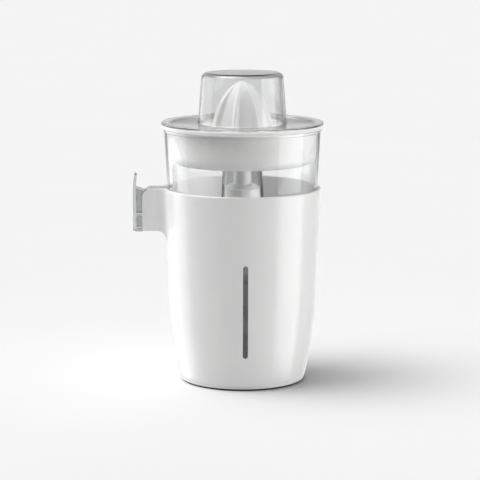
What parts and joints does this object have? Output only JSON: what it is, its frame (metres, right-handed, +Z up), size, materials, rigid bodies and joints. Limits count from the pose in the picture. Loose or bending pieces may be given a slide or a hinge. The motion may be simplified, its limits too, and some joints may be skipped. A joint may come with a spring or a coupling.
{
  "type": "citrus juicer",
  "caption": "Electric citrus juicer: tapered housing with a lift-out clear jug, pulp strainer, pressed reamer cone on a geared drive, and a domed dust cover",
  "frame": {"origin": "on the drive axis, at the level of the surface that the rubber foot ring stands on", "axes": "+Z up along the drive axis, -Y towards the level window (the front), -X towards the jug's handle"},
  "size_m": [0.1772, 0.1508, 0.2886],
  "materials": {
    "clear_plastic": "clear, polished, faint grey tint",
    "white_gloss": "high gloss, smooth moulding",
    "white_matt": "satin moulding",
    "smoky_plastic": "smoky translucent",
    "grey_plastic": "satin",
    "gear_plastic": "natural acetal",
    "black_plastic": "matt",
    "red_plastic": "satin",
    "terminal_plastic": "satin",
    "capacitor": "gloss",
    "board": "solder mask",
    "rubber": "matt",
    "steel": "bright",
    "zinc_steel": "zinc plated",
    "laminations": "stacked sheet steel, varnished",
    "ferrite": "sintered magnet",
    "bronze": "sintered, oiled",
    "brass": "stamped",
    "copper": "enamelled winding wire"
  },
  "bodies": {
    "base": {"outer_housing": "white_gloss", "level_window": "smoky_plastic", "inner_well": "white_matt", "shaft_seal": "rubber", "upper_bush": "bronze", "lower_bush": "bronze", "return_spring": "steel", "idler_axle": "steel", "stator_core": "laminations", "coil_bobbins": "white_matt", "coil_windings": "copper", "motor_bracket": "zinc_steel", "motor_screws": "steel", "gear_plate": "zinc_steel", "plate_screws": "steel", "switch_bracket": "zinc_steel", "switch_body": "black_plastic", "switch_terminals": "brass", "bracket_screws": "steel", "filter_board": "board", "suppressor_capacitor": "capacitor", "terminal_block": "terminal_plastic", "cord_gland": "rubber", "base_plate": "white_matt", "foot_ring": "rubber", "base_screws": "steel"},
    "jug": {"juice_jug": "clear_plastic", "jug_handle": "clear_plastic"},
    "strainer": {"strainer_bowl": "white_matt"},
    "cover": {"dust_cover": "clear_plastic"},
    "coupling": {"drive_coupling": "grey_plastic", "coupling_clip": "steel"},
    "cone": {"reamer_cone": "white_matt", "cone_socket": "white_matt", "cone_pin": "steel"},
    "output": {"output_gear": "gear_plastic", "drive_spindle": "steel", "spindle_clip": "steel"},
    "idler": {"idler_gear": "gear_plastic"},
    "rotor": {"rotor_magnet": "ferrite", "rotor_shaft": "steel", "rotor_pinion": "gear_plastic"},
    "rod": {"push_rod": "steel"},
    "button": {"switch_button": "red_plastic"}
  },
  "joints": [
    {"name": "jug_lift", "type": "slide", "parent": "base", "child": "jug", "axis": [0, 0, 1], "range_m": [0, 0.165]},
    {"name": "strainer_lift", "type": "slide", "parent": "jug", "child": "strainer", "axis": [0, 0, 1], "range_m": [0, 0.06]},
    {"name": "cover_lift", "type": "slide", "parent": "strainer", "child": "cover", "axis": [0, 0, 1], "range_m": [0, 0.06]},
    {"name": "coupling_spin", "type": "hinge", "parent": "strainer", "child": "coupling", "pos_m": [0, 0, 0.2], "axis": [0, 0, 1], "continuous": true},
    {"name": "cone_press", "type": "slide", "parent": "coupling", "child": "cone", "axis": [0, 0, 1], "range_m": [-0.0025, 0], "stiffness_N_per_m": 2500, "springref_m": 0.0006},
    {"name": "drive_spin", "type": "hinge", "parent": "base", "child": "output", "pos_m": [0, 0, 0.04], "axis": [0, 0, 1], "continuous": true},
    {"name": "idler_spin", "type": "hinge", "parent": "base", "child": "idler", "pos_m": [-0.03031, -0.0175, 0.038], "axis": [0, 0, 1], "continuous": true},
    {"name": "rotor_spin", "type": "hinge", "parent": "base", "child": "rotor", "pos_m": [-0.03575, 0.00278, 0.02], "axis": [0, 0, 1], "continuous": true},
    {"name": "rod_press", "type": "slide", "parent": "base", "child": "rod", "axis": [0, 0, 1], "range_m": [-0.0025, 0], "deforming": ["return_spring"]},
    {"name": "button_press", "type": "slide", "parent": "base", "child": "button", "axis": [0, 0, 1], "range_m": [-0.0025, 0]}
  ],
  "couplings": [
    {"joint": "coupling_spin", "follows": "drive_spin", "ratio": 1},
    {"joint": "idler_spin", "follows": "drive_spin", "ratio": -6},
    {"joint": "rotor_spin", "follows": "drive_spin", "ratio": 30},
    {"joint": "rod_press", "follows": "cone_press", "ratio": 1},
    {"joint": "button_press", "follows": "cone_press", "ratio": 1}
  ]
}
